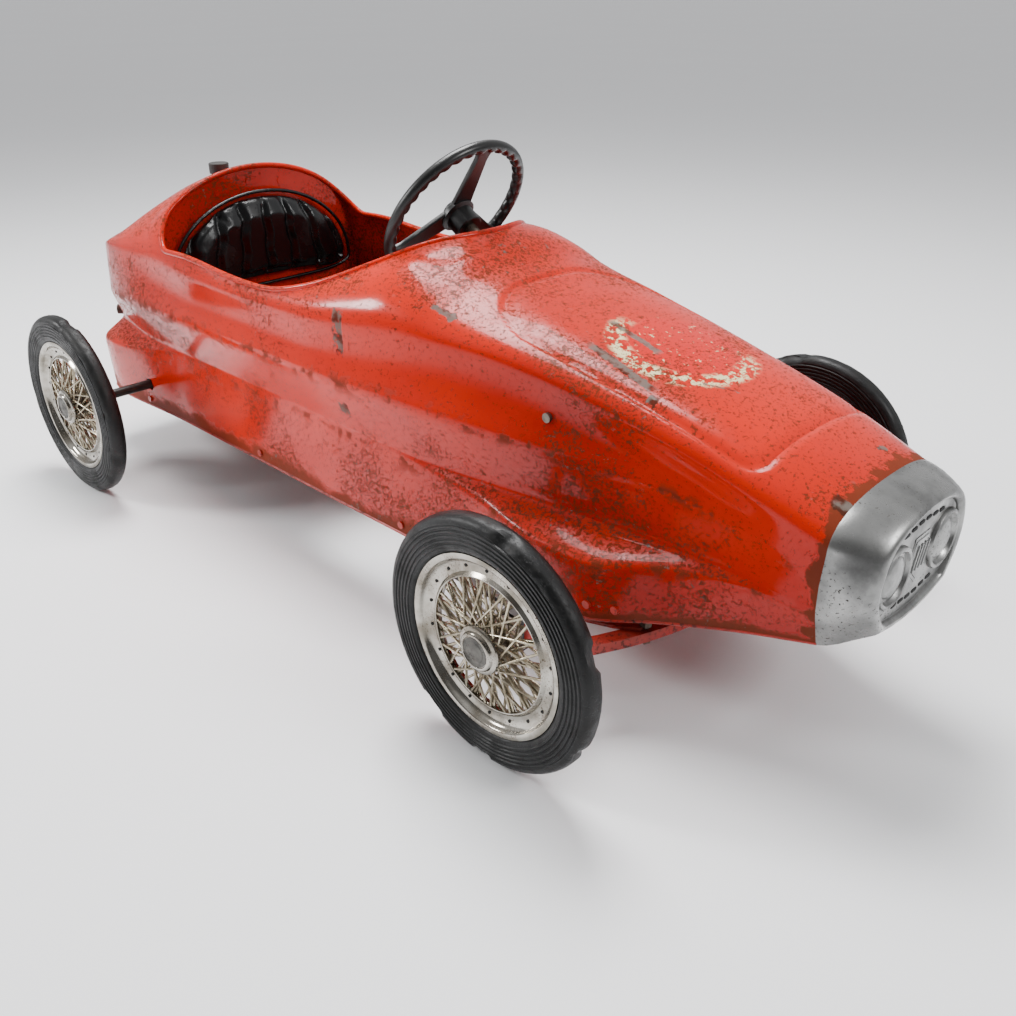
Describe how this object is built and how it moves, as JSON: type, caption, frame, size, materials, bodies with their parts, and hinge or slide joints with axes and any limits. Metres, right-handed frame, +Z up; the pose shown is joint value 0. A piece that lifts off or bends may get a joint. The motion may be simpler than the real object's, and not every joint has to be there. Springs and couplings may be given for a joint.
{
  "type": "pedal car",
  "caption": "Child's pedal racing car: long pressed-steel body with open cockpit and headrest, wire wheels, steered front axle and cranked rear axle driven by pedals.",
  "frame": {"origin": "on the floor under the middle of the car's length and width", "axes": "+X towards the nose, +Y towards the driver's left, +Z up"},
  "size_m": [1.124, 0.546, 0.4546],
  "materials": {
    "red_paint": "gloss, worn and oxidised on top",
    "dark_enamel": "satin black",
    "cap_metal": "satin cast",
    "bright_plate": "bright plate, dulled",
    "wire_plate": "nickel plated wire, dulled",
    "bare_steel": "bare, greasy",
    "tyre_rubber": "weathered solid rubber",
    "pedal_rubber": "matte",
    "black_vinyl": "glossy coated cloth",
    "wheel_plastic": "glossy moulded",
    "cap_plastic": "matte moulded",
    "brass_bush": "plain bearing"
  },
  "bodies": {
    "frame_and_body": {"body_shell": "red_paint", "seat_back_panel": "red_paint", "seat_pan": "dark_enamel", "seat_pad": "black_vinyl", "nose_cap": "cap_metal", "filler_cap": "cap_plastic", "body_bolts": "bare_steel", "body_rivets": "red_paint", "tail_buttons": "wheel_plastic", "chassis_rails": "dark_enamel", "rail_mounts": "dark_enamel", "front_cross_bar": "dark_enamel", "rear_cross_bar": "dark_enamel", "front_axle_beam": "red_paint", "axle_brackets": "dark_enamel", "axle_bolts": "bare_steel", "kingpins": "bare_steel", "column_bracket_upper": "dark_enamel", "column_bracket_lower": "dark_enamel", "pedal_shaft": "bare_steel", "pedal_sockets": "dark_enamel", "pedal_collars": "bare_steel", "axle_hangers": "dark_enamel", "axle_bushes": "brass_bush"},
    "steering": {"steering_wheel": "wheel_plastic", "steering_wheel_nut": "wheel_plastic", "steering_column": "bare_steel"},
    "left_knuckle": {"knuckle_left": "dark_enamel", "stub_nut_left": "bare_steel"},
    "right_knuckle": {"knuckle_right": "dark_enamel", "stub_nut_right": "bare_steel"},
    "track_rod": {"tie_rod": "bare_steel"},
    "front_left_wheel": {"front_left_tyre": "tyre_rubber", "front_left_rim": "bright_plate", "front_left_spokes": "wire_plate", "front_left_hub": "bare_steel", "front_left_hub_cap": "bright_plate"},
    "front_right_wheel": {"front_right_tyre": "tyre_rubber", "front_right_rim": "bright_plate", "front_right_spokes": "wire_plate", "front_right_hub": "bare_steel", "front_right_hub_cap": "bright_plate"},
    "rear_wheels": {"rear_axle": "dark_enamel", "axle_nuts": "bare_steel", "rear_left_tyre": "tyre_rubber", "rear_left_rim": "bright_plate", "rear_left_spokes": "wire_plate", "rear_left_hub": "bare_steel", "rear_left_hub_cap": "bright_plate", "rear_right_tyre": "tyre_rubber", "rear_right_rim": "bright_plate", "rear_right_spokes": "wire_plate", "rear_right_hub": "bare_steel", "rear_right_hub_cap": "bright_plate"},
    "left_pedal": {"pedal_lever_left": "dark_enamel", "pedal_pad_left": "pedal_rubber"},
    "right_pedal": {"pedal_lever_right": "dark_enamel", "pedal_pad_right": "pedal_rubber"},
    "left_rod": {"pedal_rod_left": "dark_enamel"},
    "right_rod": {"pedal_rod_right": "dark_enamel"}
  },
  "joints": [
    {"name": "steering_turn", "type": "hinge", "parent": "frame_and_body", "child": "steering", "pos_m": [0.023, 0, 0.38], "axis": [-0.8358, 0, 0.5491], "range_deg": [-22, 22]},
    {"name": "left_knuckle_turn", "type": "hinge", "parent": "frame_and_body", "child": "left_knuckle", "pos_m": [0.327, 0.214, 0.115], "axis": [0, 0, 1], "range_deg": [-22, 22]},
    {"name": "right_knuckle_turn", "type": "hinge", "parent": "frame_and_body", "child": "right_knuckle", "pos_m": [0.327, -0.214, 0.115], "axis": [0, 0, 1], "range_deg": [-22, 22]},
    {"name": "track_rod_turn", "type": "hinge", "parent": "left_knuckle", "child": "track_rod", "pos_m": [0.2412, 0.214, 0.134], "axis": [0, 0, 1], "range_deg": [-22, 22]},
    {"name": "front_left_wheel_spin", "type": "hinge", "parent": "left_knuckle", "child": "front_left_wheel", "pos_m": [0.327, 0.256, 0.115], "axis": [0, 1, 0], "continuous": true},
    {"name": "front_right_wheel_spin", "type": "hinge", "parent": "right_knuckle", "child": "front_right_wheel", "pos_m": [0.327, -0.256, 0.115], "axis": [0, 1, 0], "continuous": true},
    {"name": "rear_axle_spin", "type": "hinge", "parent": "frame_and_body", "child": "rear_wheels", "pos_m": [-0.427, 0, 0.115], "axis": [0, 1, 0], "continuous": true},
    {"name": "left_rod_turn", "type": "hinge", "parent": "rear_wheels", "child": "left_rod", "pos_m": [-0.41613, 0.116, 0.15557], "axis": [0, 1, 0], "continuous": true},
    {"name": "right_rod_turn", "type": "hinge", "parent": "rear_wheels", "child": "right_rod", "pos_m": [-0.43787, -0.116, 0.07443], "axis": [0, 1, 0], "continuous": true},
    {"name": "left_pedal_swing", "type": "hinge", "parent": "frame_and_body", "child": "left_pedal", "pos_m": [0.12, 0.105, 0.245], "axis": [0, -1, 0], "range_deg": [-25.78, 15.92]},
    {"name": "right_pedal_swing", "type": "hinge", "parent": "frame_and_body", "child": "right_pedal", "pos_m": [0.12, -0.105, 0.245], "axis": [0, -1, 0], "range_deg": [-14.29, 27.41]}
  ],
  "couplings": [
    {"joint": "left_knuckle_turn", "follows": "steering_turn", "ratio": 1},
    {"joint": "right_knuckle_turn", "follows": "steering_turn", "ratio": 1},
    {"joint": "track_rod_turn", "follows": "steering_turn", "ratio": -1},
    {"joint": "left_rod_turn", "follows": "rear_axle_spin", "ratio": -1},
    {"joint": "right_rod_turn", "follows": "rear_axle_spin", "ratio": -1}
  ]
}
